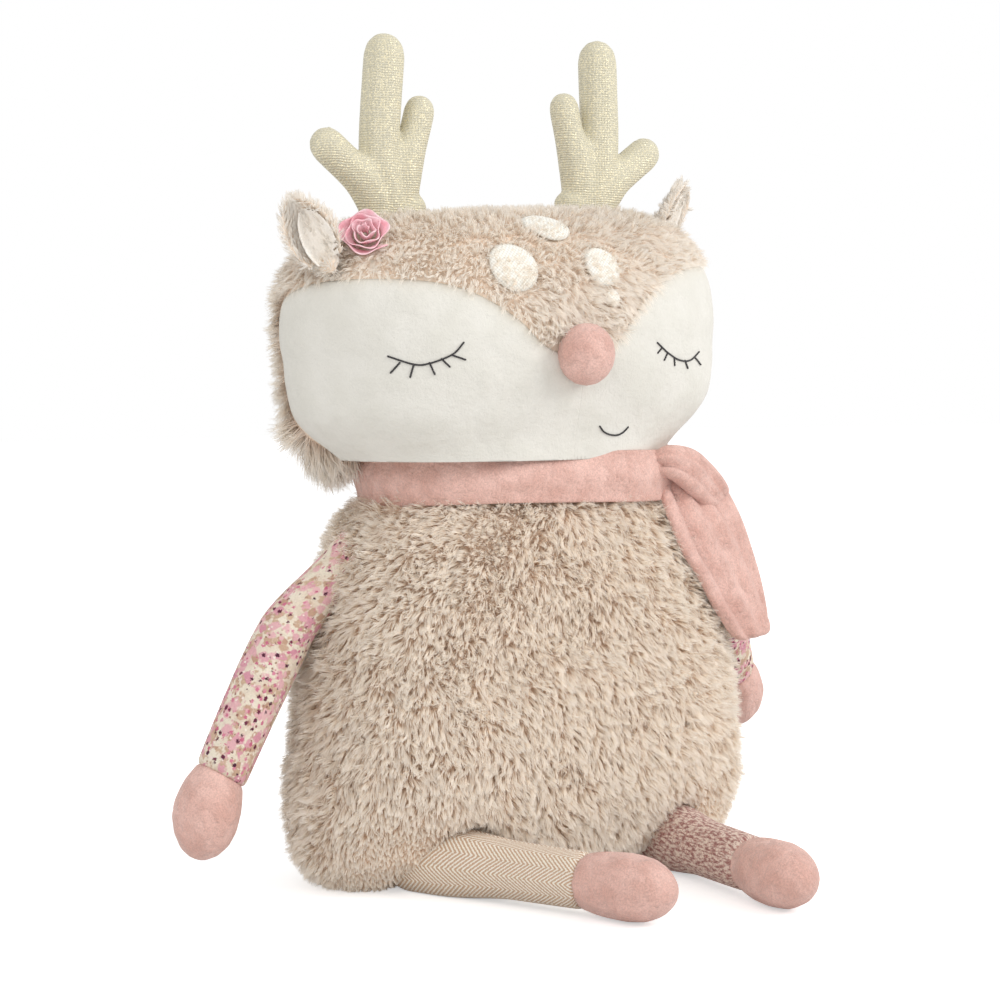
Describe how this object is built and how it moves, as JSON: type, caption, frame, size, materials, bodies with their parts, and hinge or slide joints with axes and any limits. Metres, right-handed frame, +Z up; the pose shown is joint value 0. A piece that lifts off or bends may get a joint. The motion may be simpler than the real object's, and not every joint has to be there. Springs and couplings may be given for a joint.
{
  "type": "plush deer",
  "caption": "Seated soft deer with a boxy furry body, wide two-lobed face, knitted antlers, floppy ears, dangling patterned limbs and a knotted neck scarf.",
  "frame": {"origin": "middle of the flat seat that the deer sits on", "axes": "+Z up, the face looks along -Y, and the deer's own right side is at -X"},
  "size_m": [0.3803, 0.2458, 0.4176],
  "materials": {
    "fur": "long pile",
    "face_cloth": "short pile",
    "pink_velour": "velour pile",
    "gold_knit": "metallic knit",
    "ear_lining": "short pile",
    "spot_linen": "woven",
    "satin_ribbon": "satin",
    "floral_cotton": "printed cotton",
    "herringbone_tweed": "woven",
    "rose_tweed": "woven",
    "wadding": "loose fill",
    "bean_bag": "woven",
    "satin_label": "satin"
  },
  "bodies": {
    "torso": {"torso_front": "fur", "torso_back": "fur", "seat_panel": "fur", "torso_stuffing": "wadding", "pellet_bag": "bean_bag", "scarf_band": "pink_velour", "scarf_knot": "pink_velour", "scarf_tail_rear": "pink_velour", "scarf_tail_front": "pink_velour", "seam_label": "satin_label"},
    "head": {"head_front": "fur", "head_back": "fur", "face_panel_right": "face_cloth", "face_panel_left": "face_cloth", "head_stuffing": "wadding", "spot_right": "spot_linen", "spot_top": "spot_linen", "spot_left": "spot_linen", "spot_low": "spot_linen", "nose": "pink_velour", "rose": "satin_ribbon"},
    "antler_right": {"antler_right": "gold_knit"},
    "antler_left": {"antler_left": "gold_knit"},
    "ear_right": {"ear_back_right": "fur", "ear_lining_right": "ear_lining"},
    "ear_left": {"ear_back_left": "fur", "ear_lining_left": "ear_lining"},
    "arm_right": {"arm_right_sleeve": "floral_cotton", "arm_right_hand": "pink_velour"},
    "arm_left": {"arm_left_sleeve": "floral_cotton", "arm_left_hand": "pink_velour"},
    "leg_right": {"leg_right_sleeve": "herringbone_tweed", "leg_right_foot": "pink_velour"},
    "leg_left": {"leg_left_sleeve": "rose_tweed", "leg_left_foot": "pink_velour"}
  },
  "joints": [
    {"name": "head_turn", "type": "hinge", "parent": "torso", "child": "head", "pos_m": [0, 0, 0.192], "axis": [0, 0, 1], "range_deg": [-25, 25], "stiffness_Nm_per_rad": 0.3},
    {"name": "antler_right_flex", "type": "hinge", "parent": "head", "child": "antler_right", "pos_m": [-0.07121, -0.00221, 0.32646], "axis": [0.9744, 0.0853, 0.2079], "range_deg": [-20, 20], "stiffness_Nm_per_rad": 0.06},
    {"name": "antler_left_flex", "type": "hinge", "parent": "head", "child": "antler_left", "pos_m": [0.04419, 0.00788, 0.33253], "axis": [0.9907, 0.0867, -0.1045], "range_deg": [-20, 20], "stiffness_Nm_per_rad": 0.06},
    {"name": "ear_right_flop", "type": "hinge", "parent": "head", "child": "ear_right", "pos_m": [-0.11729, -0.03435, 0.30035], "axis": [0.7868, -0.4024, 0.4679], "range_deg": [-12, 8], "stiffness_Nm_per_rad": 0.03},
    {"name": "ear_left_flop", "type": "hinge", "parent": "head", "child": "ear_left", "pos_m": [0.09493, 0.02236, 0.31838], "axis": [0.713, 0.5336, -0.4548], "range_deg": [-12, 8], "stiffness_Nm_per_rad": 0.03},
    {"name": "arm_right_swing", "type": "hinge", "parent": "torso", "child": "arm_right", "pos_m": [-0.10542, 0, 0.164], "axis": [-1, 0, 0], "range_deg": [-50, 90]},
    {"name": "arm_left_swing", "type": "hinge", "parent": "torso", "child": "arm_left", "pos_m": [0.10542, 0, 0.164], "axis": [-1, 0, 0], "range_deg": [-10, 135]},
    {"name": "leg_right_swing", "type": "hinge", "parent": "torso", "child": "leg_right", "pos_m": [-0.068, -0.018, 0.0161], "axis": [-0.9063, -0.4226, 0], "range_deg": [-60, 15]},
    {"name": "leg_left_swing", "type": "hinge", "parent": "torso", "child": "leg_left", "pos_m": [0.068, -0.018, 0.0161], "axis": [-0.9976, 0.0698, 0], "range_deg": [-60, 15]}
  ]
}
